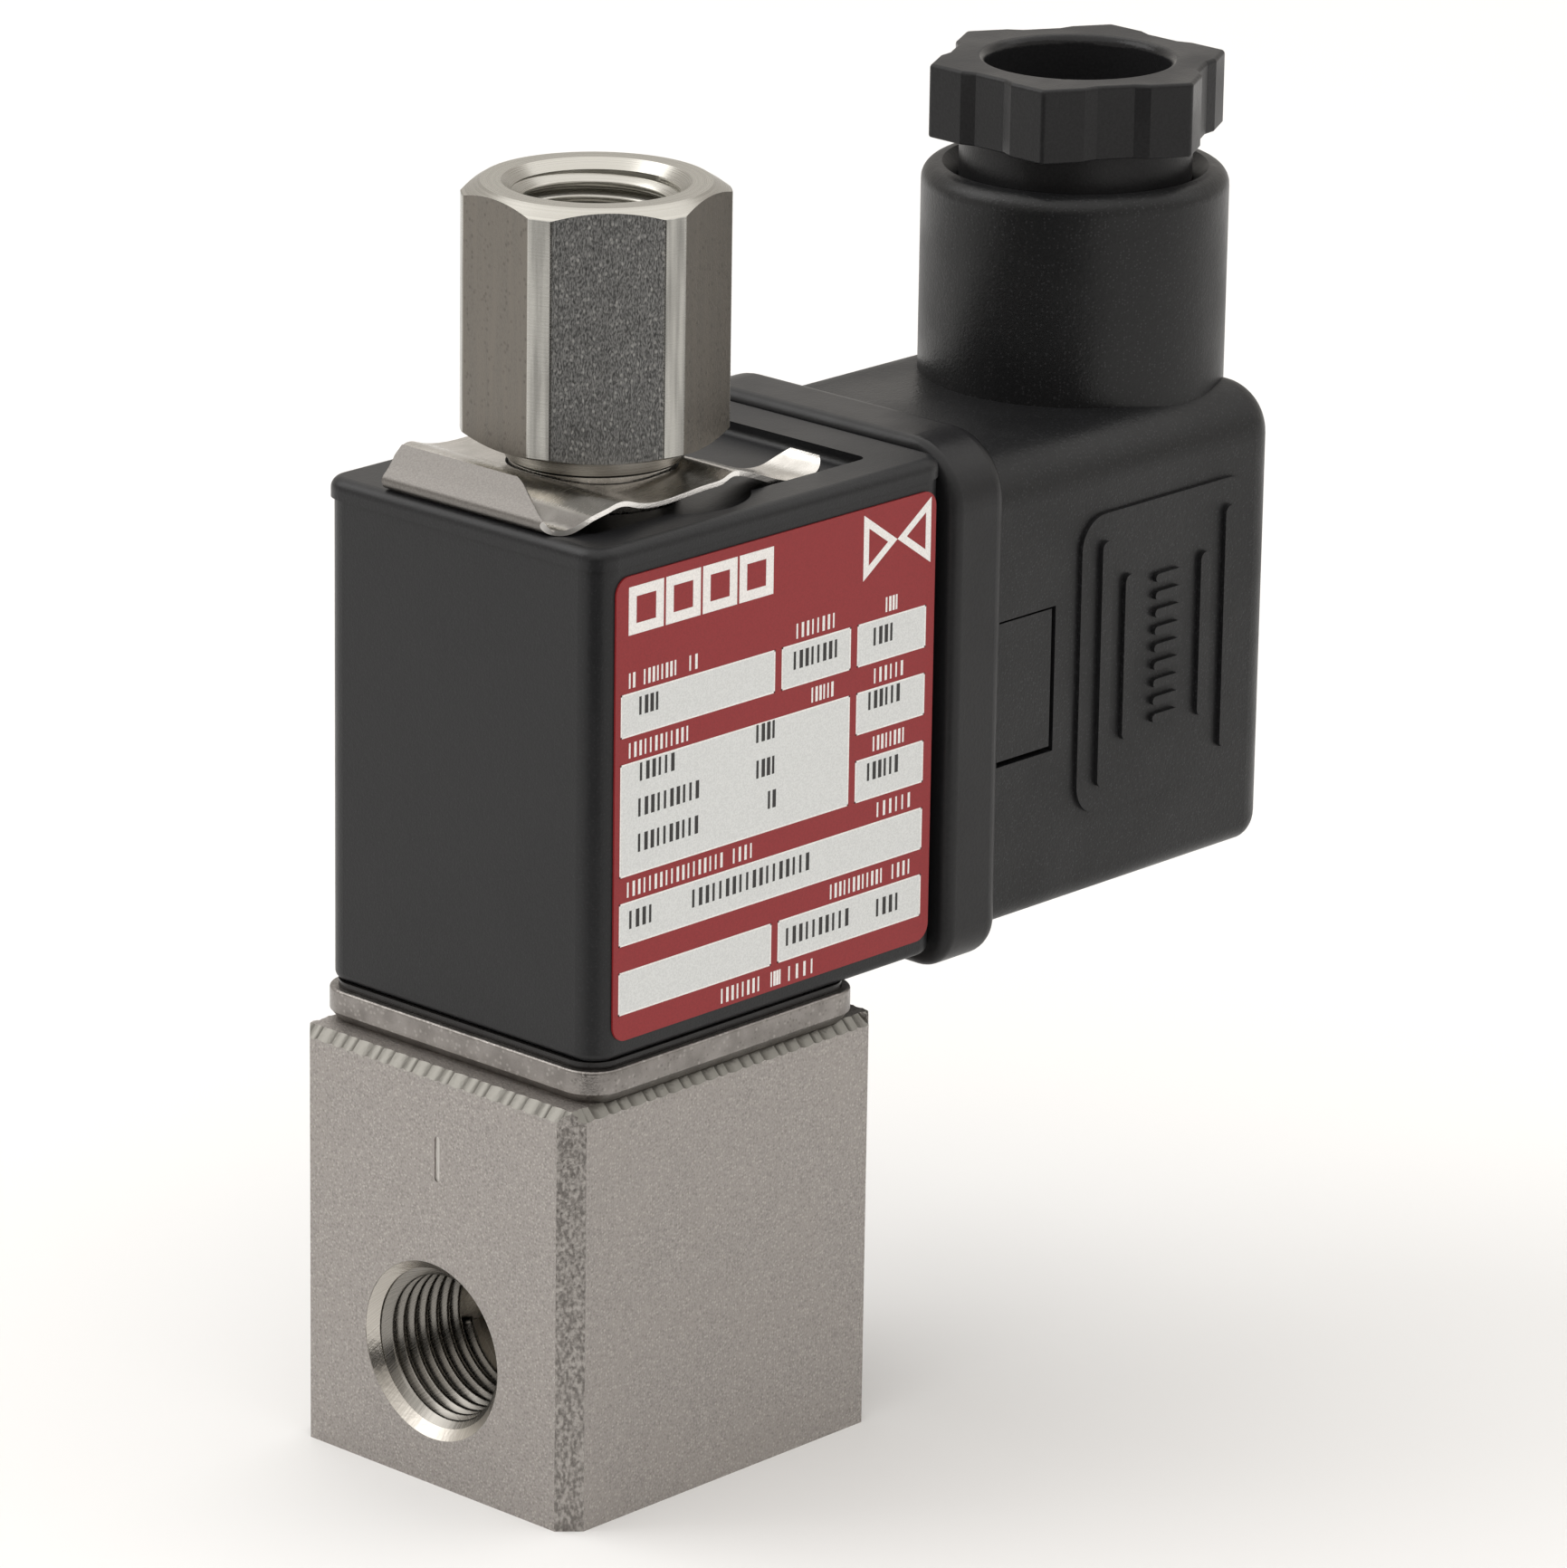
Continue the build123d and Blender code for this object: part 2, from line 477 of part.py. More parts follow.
# Spring clip: a bent strip with a hole for the tube, open to +X between two tongues
with BuildPart() as coil_clip:
    with BuildSketch(Plane.XZ):
        with BuildLine():
            upper = Spline(*shifted(CLIP_LINE, CLIP_T / 2))
            lower = Spline(*shifted(CLIP_LINE, -CLIP_T / 2))
            Line(upper @ 0, lower @ 0)
            Line(upper @ 1, lower @ 1)
        make_face()
    extrude(amount=CLIP_Y1, both=True)
    # Plan outline: full width to the ridge, then two tongues with rounded ends
    with BuildSketch(Plane.XY.offset(COIL_Z0)):
        flat_mid, flat_len = span(-15, TONGUE_X)
        clip_mid, clip_width = span(CLIP_Y0, CLIP_Y1)
        with Locations((flat_mid, clip_mid)):
            Rectangle(flat_len, clip_width)
        tongue_mid, tongue_len = span(0, CLIP_END)
        tongue_level, tongue_width = span(TONGUE_IN, TONGUE_OUT)
        with Locations((tongue_mid, -tongue_level), (tongue_mid, tongue_level)):
            RectangleRounded(tongue_len, tongue_width, 1.4)
        Circle(CLIP_HOLE_R, mode=Mode.SUBTRACT)
    extrude(amount=HEX_Z0 - COIL_Z0, mode=Mode.INTERSECT)
    # Both ends are cut in curves, and the -Y cut carries on up the lip
    for curve, beyond in ((CLIP_EDGE, -10), (CLIP_EAR, 10)):
        with BuildSketch(Plane.XY.offset(COIL_Z0)):
            with BuildLine():
                edge = Spline(*curve)
                Polyline(edge @ 1, (curve[-1][0], beyond), (-12, beyond), (-12, curve[0][1]), edge @ 0)
            make_face()
        extrude(amount=HEX_Z0 - COIL_Z0, mode=Mode.SUBTRACT)
    crest = Vector(CLIP_LINE[0][0], 0, CLIP_LINE[0][1])
    fold = Vector(CLIP_LINE[CLIP_FOLD][0], 0, CLIP_LINE[CLIP_FOLD][1])
    up_lip = (crest - fold).normalized()
    lip = Plane(origin=fold, x_dir=(0, 1, 0), z_dir=Vector(0, 1, 0).cross(up_lip))
    with BuildSketch(lip):
        with BuildLine():
            edge = Spline(*LIP_EDGE)
            Polyline(edge @ 1, (LIP_EDGE[-1][0], 3), (CLIP_Y0 - 1, 3), (CLIP_Y0 - 1, -0.5), edge @ 0)
        make_face()
        side_mid, side_len = span(LIP_Y1, CLIP_Y1 + 1)
        with Locations((side_mid, 1)):
            Rectangle(side_len, 4)
    extrude(amount=0.5, both=True, mode=Mode.SUBTRACT)
save(coil_clip, "coil_clip")

# ---- Terminals and connector -------------------------------------------------

blade_mid, blade_len = span(BLADE_X0, BLADE_X1)
contact_mid, contact_len = span(CONTACT_X0, CONTACT_X1)
gasket_mid, gasket_height = span(GASKET_Z0, GASKET_Z1)

with BuildPart() as connector_gasket:
    with BuildSketch(Plane.YZ.offset(COIL_X1)):
        with Locations((0, gasket_mid)):
            Rectangle(GASKET_Y, gasket_height)
        fillet(vertices().group_by(Axis.Y)[-1], 4.0)
        fillet(vertices().group_by(Axis.Y)[0], 2.6)
    extrude(amount=GASKET_X1 - COIL_X1)
    fillet(faces().sort_by(Axis.X)[-1].outer_wire().edges(), 1.2)
    fillet(faces().sort_by(Axis.X)[0].outer_wire().edges(), 0.7)
    with BuildSketch(Plane.YZ.offset(COIL_X1)):
        with Locations((-LINE_Y, LINE_Z), (LINE_Y, LINE_Z)):
            Rectangle(BLADE_T, BLADE_W)
        with Locations((0, EARTH_Z)):
            Rectangle(BLADE_W, BLADE_T)
        with Locations((0, LINE_Z)):
            Circle(SCREW_R)
    extrude(amount=GASKET_X1 - COIL_X1, mode=Mode.SUBTRACT)
save(connector_gasket, "connector_gasket")

with BuildPart() as connector_housing:
    conn_mid, conn_height = span(CONN_Z0, CONN_Z1)
    with BuildSketch(Plane.YZ.offset(GASKET_X1)):
        with Locations((0, conn_mid)):
            Rectangle(CONN_Y, conn_height)
        fillet(vertices().group_by(Axis.Y)[-1], 3.2)
        fillet(vertices().group_by(Axis.Y)[0], 1.2)
    extrude(amount=CONN_X1 - GASKET_X1)
    fillet(faces().sort_by(Axis.X)[-1].outer_wire().edges(), 2.4)
    # Gland tower, running down into the end wall
    with BuildSketch(Plane.XZ):
        with BuildLine():
            Polyline(
                (TOWER_X, 45), (CONN_X1 - 0.5, 45), (TOWER_X + TOWER_R, 51), (TOWER_X + TOWER_R, TOWER_TOP),
                (TOWER_X, TOWER_TOP), close=True,
            )
        make_face()
    revolve(axis=Axis((TOWER_X, 0, 0), (0, 0, 1)))
    fillet(faces().sort_by(Axis.Z)[-1].outer_wire().edges(), 1.1)
    # Raised pad with four grip ribs and a plain block motif on both sides
    for side in (-1, 1):
        wall = Plane(origin=(0, side * CONN_Y / 2, 0), x_dir=(-side, 0, 0), z_dir=(0, side, 0))
        pad_mid, pad_len = span(*PAD_X)
        pad_level, pad_height = span(*PAD_Z)
        with BuildSketch(wall):
            with Locations((-side * pad_mid, pad_level)):
                RectangleRounded(pad_len, pad_height, 2.0)
        extrude(amount=PAD_PROUD)
        with BuildSketch(wall.offset(PAD_PROUD)):
            for step, length in RIBS:
                with Locations((-side * (pad_mid + step), pad_level)):
                    SlotOverall(length, RIB_W, rotation=90)
            with Locations((-side * pad_mid, pad_level)):
                with GridLocations(1, MOTIF_PITCH, 1, 9):
                    SlotOverall(2.4, MOTIF_PITCH / 2)
        extrude(amount=RIB_PROUD)
    # Cavity for the terminal block, cable passage and gland bore
    cavity_mid, cavity_len = span(GASKET_X1, CAVITY_X1)
    with BuildSketch(Plane.XY.offset(CAVITY_Z0)):
        with Locations((cavity_mid, 0)):
            Rectangle(cavity_len, CAVITY_Y)
    extrude(amount=CAVITY_Z1 - CAVITY_Z0, mode=Mode.SUBTRACT)
    with BuildSketch(Plane.XY.offset(CAVITY_Z1)):
        with Locations((TOWER_X, 0)):
            Circle(4.5)
    extrude(amount=GROMMET_Z0 - CAVITY_Z1, mode=Mode.SUBTRACT)
    with Locations((TOWER_X, 0, TOWER_TOP)):
        CounterSinkHole(TOWER_BORE_R, TOWER_MOUTH_R, depth=TOWER_TOP - GROMMET_Z0, counter_sink_angle=90)
    # Latch outline on both sides: a slot round a flap, open towards the gasket
    for side in (-1, 1):
        with BuildSketch(Plane(origin=(GASKET_X1, side * CONN_Y / 2, 0), x_dir=(1, 0, 0), z_dir=(0, -1, 0))):
            latch_len = LATCH_X1 - GASKET_X1
            latch_level, latch_height = span(*LATCH_Z)
            with Locations((latch_len / 2, latch_level)):
                Rectangle(latch_len, latch_height)
            flap_level, flap_height = span(LATCH_Z[0] + LATCH_SLOT, LATCH_Z[1] - LATCH_CREASE)
            with Locations(((latch_len - LATCH_SLOT) / 2, flap_level)):
                Rectangle(latch_len - LATCH_SLOT, flap_height, mode=Mode.SUBTRACT)
        extrude(amount=side * 1.2, mode=Mode.SUBTRACT)
    # Fixing screw's hole and counterbore
    with BuildSketch(Plane.YZ.offset(CONN_X1)):
        with Locations((0, LINE_Z)):
            Circle(SCREW_HEAD_R + 0.2)
    extrude(amount=SCREW_SEAT - 0.5 - CONN_X1, mode=Mode.SUBTRACT)
    with BuildSketch(Plane.YZ.offset(CONN_X1)):
        with Locations((0, LINE_Z)):
            Circle(SCREW_R + 0.1)
    extrude(amount=-5, mode=Mode.SUBTRACT)
save(connector_housing, "connector_housing")

# Blades, contacts and clamp screws: two lines standing upright, the earth lying flat
with BuildPart() as terminal_block:
    block_mid, block_len = span(GASKET_X1, 37.0)
    with BuildSketch(Plane.XY.offset(CAVITY_Z0)):
        with Locations((block_mid, 0)):
            Rectangle(block_len, CAVITY_Y)
    extrude(amount=50.0 - CAVITY_Z0)
    with BuildSketch(Plane.YZ.offset(GASKET_X1)):
        with Locations((0, LINE_Z)):
            Circle(SCREW_R + 0.1)
        with Locations((-LINE_Y, LINE_Z), (LINE_Y, LINE_Z)):
            Rectangle(CONTACT_T, BLADE_W + 1)
        with Locations((0, EARTH_Z)):
            Rectangle(BLADE_W + 1, CONTACT_T)
    extrude(amount=CONTACT_X1 - GASKET_X1, mode=Mode.SUBTRACT)
    with BuildSketch(Plane.YZ.offset(GASKET_X1)):
        with Locations((0, LINE_Z)):
            Circle(SCREW_R + 0.1)
    extrude(amount=block_len, mode=Mode.SUBTRACT)
    with BuildSketch(Plane.XY.offset(LINE_Z + BLADE_W / 2 + 0.5)):
        with Locations((CLAMP_X, -LINE_Y), (CLAMP_X, LINE_Y)):
            Circle(CLAMP_HEAD_R + 0.1)
    extrude(amount=6, mode=Mode.SUBTRACT)
    with BuildSketch(Plane.XY.offset(EARTH_Z + CONTACT_T / 2)):
        with Locations((CLAMP_X, 0)):
            Circle(CLAMP_HEAD_R + 0.1)
    extrude(amount=2, mode=Mode.SUBTRACT)
save(terminal_block, "terminal_block")

terminals = (
    ("line_a", -LINE_Y, LINE_Z, 90), ("line_b", LINE_Y, LINE_Z, 90), ("earth", 0, EARTH_Z, 0),
)
for name, y, z, turn in terminals:
    half_height = BLADE_W / 2 + 0.5 if turn else CONTACT_T / 2
    with BuildPart() as blade:
        with BuildSketch(Plane.YZ.offset(BLADE_X0)):
            with Locations((y, z)):
                Rectangle(BLADE_W, BLADE_T, rotation=turn)
        extrude(amount=blade_len)
    save(blade, f"terminal_{name}")

    with BuildPart() as contact:
        with BuildSketch(Plane.YZ.offset(CONTACT_X0)):
            with Locations((y, z)):
                Rectangle(BLADE_W + 1, CONTACT_T, rotation=turn)
        extrude(amount=contact_len)
        with BuildSketch(Plane.YZ.offset(CONTACT_X0)):
            with Locations((y, z)):
                Rectangle(BLADE_W, BLADE_T, rotation=turn)
        extrude(amount=BLADE_X1 - CONTACT_X0, mode=Mode.SUBTRACT)
        with BuildSketch(Plane.XY.offset(z + half_height)):
            with Locations((CLAMP_X, y)):
                Circle(CLAMP_R)
        extrude(amount=-2.4, mode=Mode.SUBTRACT)
    save(contact, f"contact_{name}")

    with BuildPart() as clamp_screw:
        with BuildSketch(Plane.XY.offset(z + half_height)):
            with Locations((CLAMP_X, y)):
                Circle(CLAMP_R)
        extrude(amount=-2.4)
        with BuildSketch(Plane.XY.offset(z + half_height)):
            with Locations((CLAMP_X, y)):
                Circle(CLAMP_HEAD_R)
        extrude(amount=CLAMP_HEAD_H)
        with BuildSketch(Plane.XY.offset(z + half_height + CLAMP_HEAD_H)):
            with Locations((CLAMP_X, y)):
                Rectangle(2 * CLAMP_HEAD_R, 0.4)
        extrude(amount=-0.5, mode=Mode.SUBTRACT)
    save(clamp_screw, f"clamp_screw_{name}")

with BuildPart() as fixing_screw:
    with BuildSketch(Plane.YZ.offset(SCREW_X0)):
        with Locations((0, LINE_Z)):
            Circle(SCREW_R)
    extrude(amount=SCREW_SEAT - SCREW_X0)
    with BuildSketch(Plane.YZ.offset(SCREW_SEAT)):
        with Locations((0, LINE_Z)):
            Circle(SCREW_HEAD_R)
    extrude(amount=2.0)
    fillet(faces().sort_by(Axis.X)[-1].outer_wire().edges(), 0.5)
    with BuildSketch(Plane.YZ.offset(SCREW_SEAT + 2.0)):
        with Locations((0, LINE_Z)):
            Rectangle(0.8, 3 * SCREW_HEAD_R)
    extrude(amount=-1.0, mode=Mode.SUBTRACT)
save(fixing_screw, "fixing_screw")

with BuildPart() as screw_seal:
    with BuildSketch(Plane.YZ.offset(SCREW_SEAT)):
        with Locations((0, LINE_Z)):
            Circle(SCREW_HEAD_R)
            Circle(SCREW_R, mode=Mode.SUBTRACT)
    extrude(amount=-0.5)
save(screw_seal, "screw_seal")

# ---- Cable gland -------------------------------------------------------------

with BuildPart() as cable_grommet:
    with BuildSketch(Plane.XY.offset(GROMMET_Z0)):
        with Locations((TOWER_X, 0)):
            Circle(TOWER_BORE_R)
            Circle(3.6, mode=Mode.SUBTRACT)
    extrude(amount=GROMMET_Z1 - GROMMET_Z0)
save(cable_grommet, "cable_grommet")

with BuildPart() as gland_washer:
    with BuildSketch(Plane.XY.offset(WASHER_Z0)):
        with Locations((TOWER_X, 0)):
            Circle(NUT_NECK_R)
            Circle(4.6, mode=Mode.SUBTRACT)
    extrude(amount=WASHER_Z1 - WASHER_Z0)
save(gland_washer, "gland_washer")

with BuildPart() as gland_nut:
    with BuildSketch(Plane.XY.offset(NUT_HEAD_Z)):
        with Locations((TOWER_X, 0)):
            RegularPolygon(NUT_AF / 2, 6, major_radius=False, rotation=NUT_TURN)
            fillet(vertices(), 0.35)
            # The middle of each flat is sunk between the corners
            with PolarLocations(NUT_AF / 2, 6, start_angle=NUT_TURN + 30):
                Polygon(
                    (-NUT_SINK, -1.15), (0, -2.05), (2, -2.05), (2, 2.05), (0, 2.05), (-NUT_SINK, 1.15),
                    align=None, mode=Mode.SUBTRACT,
                )
    extrude(amount=NUT_Z1 - NUT_HEAD_Z)
    fillet(faces().sort_by(Axis.Z)[-1].outer_wire().edges(), 0.25)
    fillet(faces().sort_by(Axis.Z)[0].outer_wire().edges(), 0.15)
    with BuildSketch(Plane.XY.offset(NUT_Z0)):
        with Locations((TOWER_X, 0)):
            Circle(NUT_NECK_R)
    extrude(amount=NUT_HEAD_Z - NUT_Z0)
    with BuildSketch(Plane.XY.offset(NUT_Z0)):
        with Locations((TOWER_X, 0)):
            Circle(NUT_BORE_R)
    extrude(amount=NUT_Z1 - NUT_Z0, mode=Mode.SUBTRACT)
    fillet(faces().sort_by(Axis.Z)[-1].inner_wires()[0].edges(), 0.55)
save(gland_nut, "gland_nut")
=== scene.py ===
from math import cos, pi, radians, sin

import bmesh
import bpy
from mathutils import Matrix, Vector


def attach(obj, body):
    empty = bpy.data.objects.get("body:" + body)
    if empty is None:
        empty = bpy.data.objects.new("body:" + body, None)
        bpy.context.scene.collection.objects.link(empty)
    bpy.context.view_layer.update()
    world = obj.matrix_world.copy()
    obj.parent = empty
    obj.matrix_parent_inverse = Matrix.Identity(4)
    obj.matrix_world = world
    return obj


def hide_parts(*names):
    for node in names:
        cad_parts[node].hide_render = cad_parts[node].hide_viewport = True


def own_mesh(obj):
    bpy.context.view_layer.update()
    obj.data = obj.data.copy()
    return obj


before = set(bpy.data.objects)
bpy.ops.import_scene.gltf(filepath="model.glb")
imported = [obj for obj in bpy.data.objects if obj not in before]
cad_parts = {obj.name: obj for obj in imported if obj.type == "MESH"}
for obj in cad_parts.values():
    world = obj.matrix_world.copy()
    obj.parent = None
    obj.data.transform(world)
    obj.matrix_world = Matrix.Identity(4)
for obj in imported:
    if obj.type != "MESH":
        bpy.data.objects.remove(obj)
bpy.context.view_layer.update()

MM = 0.001

# ---- Dimensions shared with the part, in millimetres ---------------------------

BODY_HALF_X = 13.0
PORT_LEVEL = 8.3

# Hexagon of port 3, and which way its front flat faces in X and Y
HEX_TOP, HEX_BOTTOM = 76.0, 61.15
HEX_CORNER_R = 7.73
FRONT_FLAT = (-0.645, -0.764)

# G1/8 thread: pitch, bore, crest and countersunk mouth
THREAD_PITCH = 0.907
THREAD_BORE_R = 4.864
THREAD_CREST_R = 4.283
THREAD_MOUTH_R = 5.45
THREAD_DEPTH = 7.9

# Where the clip's upturned lip begins, on the -X side
CLIP_LIP_X = -8.0

# Cable gland and the bore of its nut
GLAND_X = 41.3
NUT_BORE_R = 5.55

# Name plate: its printed face, where the ink starts under it, and the grid of its fields
LABEL_FACE = -11.16
INK_ROOT = LABEL_FACE + 0.004
FIELD_H = 2.58
ROW_PITCH = 4.125
ROW_TOPS = [49.85 - ROW_PITCH * row for row in range(5)]
COLUMNS = (-9.18, 3.46, 4.0, 9.82, 10.37, 16.24)


# ---- Materials -----------------------------------------------------------------

NOISE_RANGE = (0.3, 0.7)


class Finish:
    """A node material built round one Principled shader. Sizes are in millimetres."""

    def __init__(self, name, colour, roughness, metallic=0.0, **sockets):
        self.material = bpy.data.materials.new(name)
        self.material.use_nodes = True
        self.tree = self.material.node_tree
        self.shader = self.tree.nodes["Principled BSDF"]
        self.shader.inputs["Base Color"].default_value = (*colour, 1.0)
        self.shader.inputs["Roughness"].default_value = roughness
        self.shader.inputs["Metallic"].default_value = metallic
        for label, value in sockets.items():
            self.shader.inputs[label.replace("_", " ")].default_value = value
        self.place = self.node("ShaderNodeTexCoord")

    def node(self, kind, inputs=None, **settings):
        """Add a node. Inputs are sockets to link or plain values, by name or number."""
        node = self.tree.nodes.new(kind)
        for key, value in settings.items():
            setattr(node, key, value)
        for key, value in (inputs or {}).items():
            if isinstance(value, bpy.types.NodeSocket):
                self.tree.links.new(value, node.inputs[key])
            else:
                node.inputs[key].default_value = value
        return node

    def calc(self, operation, a, b=0.0):
        return self.node("ShaderNodeMath", {0: a, 1: b}, operation=operation).outputs[0]

    def times(self, a, b):
        return self.calc("MULTIPLY", a, b)

    def inverse(self, mask):
        """1 where the mask is 0, and the other way round."""
        return self.calc("SUBTRACT", 1.0, mask)

    def either(self, *masks):
        """1 where any of the masks is 1."""
        largest = masks[0]
        for mask in masks[1:]:
            largest = self.calc("MAXIMUM", largest, mask)
        return largest

    def reach(self, a, b):
        """How far out a point is, from its two coordinates."""
        return self.calc("SQRT", self.calc("ADD", self.times(a, a), self.times(b, b)))

    def axis(self, name, source="Object"):
        """One coordinate of the surface point, or of its normal with source Normal."""
        return self.node("ShaderNodeSeparateXYZ", {0: self.place.outputs[source]}).outputs[name]

    def facing(self, name):
        """How squarely the surface faces along an axis, either way: 0 to 1."""
        return self.calc("ABSOLUTE", self.axis(name, "Normal"))

    def step(self, value, low, high):
        """0 below low, 1 above high, smooth between."""
        limits = {"Value": value, "From Min": low, "From Max": high}
        return self.node("ShaderNodeMapRange", limits, interpolation_type="SMOOTHSTEP").outputs[0]

    def scaled(self, sizes, shift):
        """The surface point in cells of the given sizes, shifted to draw another pattern."""
        inputs = {"Vector": self.place.outputs["Object"], "Scale": [1.0 / (size * MM) for size in sizes],
                  "Location": (shift, shift, shift)}
        return self.node("ShaderNodeMapping", inputs).outputs[0]

    def noise(self, size, detail=2.0, stretch=(1.0, 1.0, 1.0), shift=0.0):
        """Noise with cells about size across, between 0 and 1, stretched along the axes."""
        cells = self.scaled([size * along for along in stretch], shift)
        noise = self.node("ShaderNodeTexNoise", {"Vector": cells, "Scale": 1.0, "Detail": detail})
        return self.step(noise.outputs[0], *NOISE_RANGE)

    def specks(self, spacing, share, shift=0.0, stretch=1.0):
        """Round specks in a share of cells about spacing across, drawn out along Z by stretch."""
        place = self.scaled([spacing, spacing, spacing * stretch], shift)
        cells = self.node("ShaderNodeTexVoronoi", {"Vector": place, "Scale": 1.0})
        near = self.inverse(self.step(cells.outputs["Distance"], 0.15, 0.5))
        draw = self.node("ShaderNodeSeparateColor", {0: cells.outputs["Color"]}).outputs[0]
        return self.times(near, self.step(draw, 0.98 - share, 1.0 - share))

    def rings(self, pitch):
        """Fine turning marks round a vertical axis, on faces and on cylinders."""
        along = self.calc("ADD", self.radius(), self.axis("Z"))
        place = self.node("ShaderNodeCombineXYZ", {0: self.times(along, 1.0 / (pitch * MM))}).outputs[0]
        noise = self.node("ShaderNodeTexNoise", {"Vector": place, "Scale": 1.0, "Detail": 3.0})
        return self.step(noise.outputs[0], *NOISE_RANGE)

    def radius(self, centre_x=0.0):
        """Distance from a vertical axis through a point on the X axis."""
        return self.reach(self.calc("SUBTRACT", self.axis("X"), centre_x * MM), self.axis("Y"))

    def mix(self, factor, a, b):
        """Mix two colours, or two numbers, by a factor."""
        if any(isinstance(value, tuple) or getattr(value, "type", "") == "RGBA" for value in (a, b)):
            a, b = [(*c, 1.0) if isinstance(c, tuple) else c for c in (a, b)]
            return self.node("ShaderNodeMix", {0: factor, 6: a, 7: b}, data_type="RGBA").outputs[2]
        return self.node("ShaderNodeMix", {0: factor, 2: a, 3: b}, data_type="FLOAT").outputs[0]

    def veil(self, ground, mask, share, colour):
        """Cover a share of the ground with a colour where the mask is 1."""
        return self.mix(self.times(mask, share), ground, colour)

    def colour(self, socket):
        self.tree.links.new(socket, self.shader.inputs["Base Color"])

    def roughness(self, socket):
        self.tree.links.new(socket, self.shader.inputs["Roughness"])

    def bump(self, *layers):
        """Bump from pairs of a height between 0 and 1 and its depth in micrometres."""
        normal = None
        for height, depth in layers:
            inputs = {"Height": height, "Distance": depth * 1e-6, "Strength": 1.0}
            if normal is not None:
                inputs["Normal"] = normal
            normal = self.node("ShaderNodeBump", inputs).outputs[0]
        self.tree.links.new(normal, self.shader.inputs["Normal"])


def blasted_steel():
    """Bead-blasted body: granular, with painted glint specks, smooth turned ports, milled top edges and
    pale engraving.
    """
    f = Finish("blasted_steel", (0.36, 0.33, 0.31), 0.5, 1.0)
    grit, coarse = f.noise(0.11, 2.0, (1, 1, 1.3)), f.noise(0.3, 2.0)
    shade = f.mix(grit, (0.315, 0.296, 0.282), (0.46, 0.432, 0.412))
    shade = f.veil(shade, f.noise(5.0, 3.0, shift=3.0), 0.3, (0.41, 0.381, 0.357))
    shade = f.veil(shade, f.specks(0.24, 0.4, shift=31.0), 0.4, (0.21, 0.195, 0.182))
    # Pale specks: painted glints on the blasted steel
    shade = f.veil(shade, f.specks(0.2, 0.4, shift=7.0), 0.45, (0.66, 0.625, 0.59))

    # Everything nearer to the ports' common axis than the edge of their mouths is turned
    from_axis = f.reach(f.axis("Y"), f.calc("SUBTRACT", f.axis("Z"), PORT_LEVEL * MM))
    port = f.inverse(f.step(from_axis, (THREAD_MOUTH_R - 0.03) * MM, (THREAD_MOUTH_R + 0.01) * MM))

    # The engraving's floor lies just inside the ends of the body
    x = f.calc("ABSOLUTE", f.axis("X"))
    floor_from, floor_to = BODY_HALF_X - 0.1, BODY_HALF_X - 0.05
    engraved = f.times(f.step(x, floor_from * MM, (floor_from + 0.01) * MM),
                       f.inverse(f.step(x, floor_to * MM, (floor_to + 0.02) * MM)))
    engraved = f.times(engraved, f.step(f.facing("X"), 0.8, 0.9))

    # Sloping faces are milled, and the upright corners face halfway between two sides
    level = f.axis("Z", "Normal")
    milled = f.times(f.step(level, 0.3, 0.4), f.inverse(f.step(level, 0.9, 0.95)))
    corner = f.step(f.calc("MINIMUM", f.facing("X"), f.facing("Y")), 0.5, 0.6)

    turning = f.rings(0.1)
    tumbled = f.noise(0.2, 2.0, (1, 1, 1.6), shift=21.0)
    shade = f.mix(engraved, shade, (0.62, 0.60, 0.57))
    shade = f.mix(milled, shade, (0.19, 0.183, 0.165))
    shade = f.mix(corner, shade, f.mix(tumbled, (0.20, 0.186, 0.174), (0.44, 0.415, 0.392)))
    f.colour(f.mix(port, shade, f.mix(turning, (0.44, 0.41, 0.37), (0.62, 0.59, 0.54))))
    f.roughness(f.mix(milled, f.mix(port, f.mix(grit, 0.42, 0.58), 0.26), 0.36))
    rough_height = f.mix(corner, grit, f.times(f.noise(0.22, 2.0, (1, 1, 1.6), shift=2.0), 2.2))
    f.bump((coarse, 6), (f.mix(f.either(port, milled), rough_height, f.times(turning, 0.1)), 16))
    return f.material


def plate_steel():
    """Tumbled flange plate: slightly mottled and warm, with dark pits and painted highlight specks."""
    f = Finish("plate_steel", (0.32, 0.29, 0.265), 0.36, 1.0)
    grain, patch = f.noise(0.12, 3.0), f.noise(1.6, 3.0, shift=5.0)
    shade = f.mix(patch, (0.215, 0.2, 0.188), (0.30, 0.281, 0.266))
    # Light specks: painted highlights
    shade = f.veil(shade, f.specks(0.3, 0.3), 0.5, (0.42, 0.40, 0.375))
    f.colour(f.veil(shade, f.specks(0.25, 0.25, shift=5.0), 0.5, (0.13, 0.12, 0.11)))
    f.roughness(f.mix(grain, 0.28, 0.44))
    f.bump((patch, 12), (grain, 7))
    return f.material


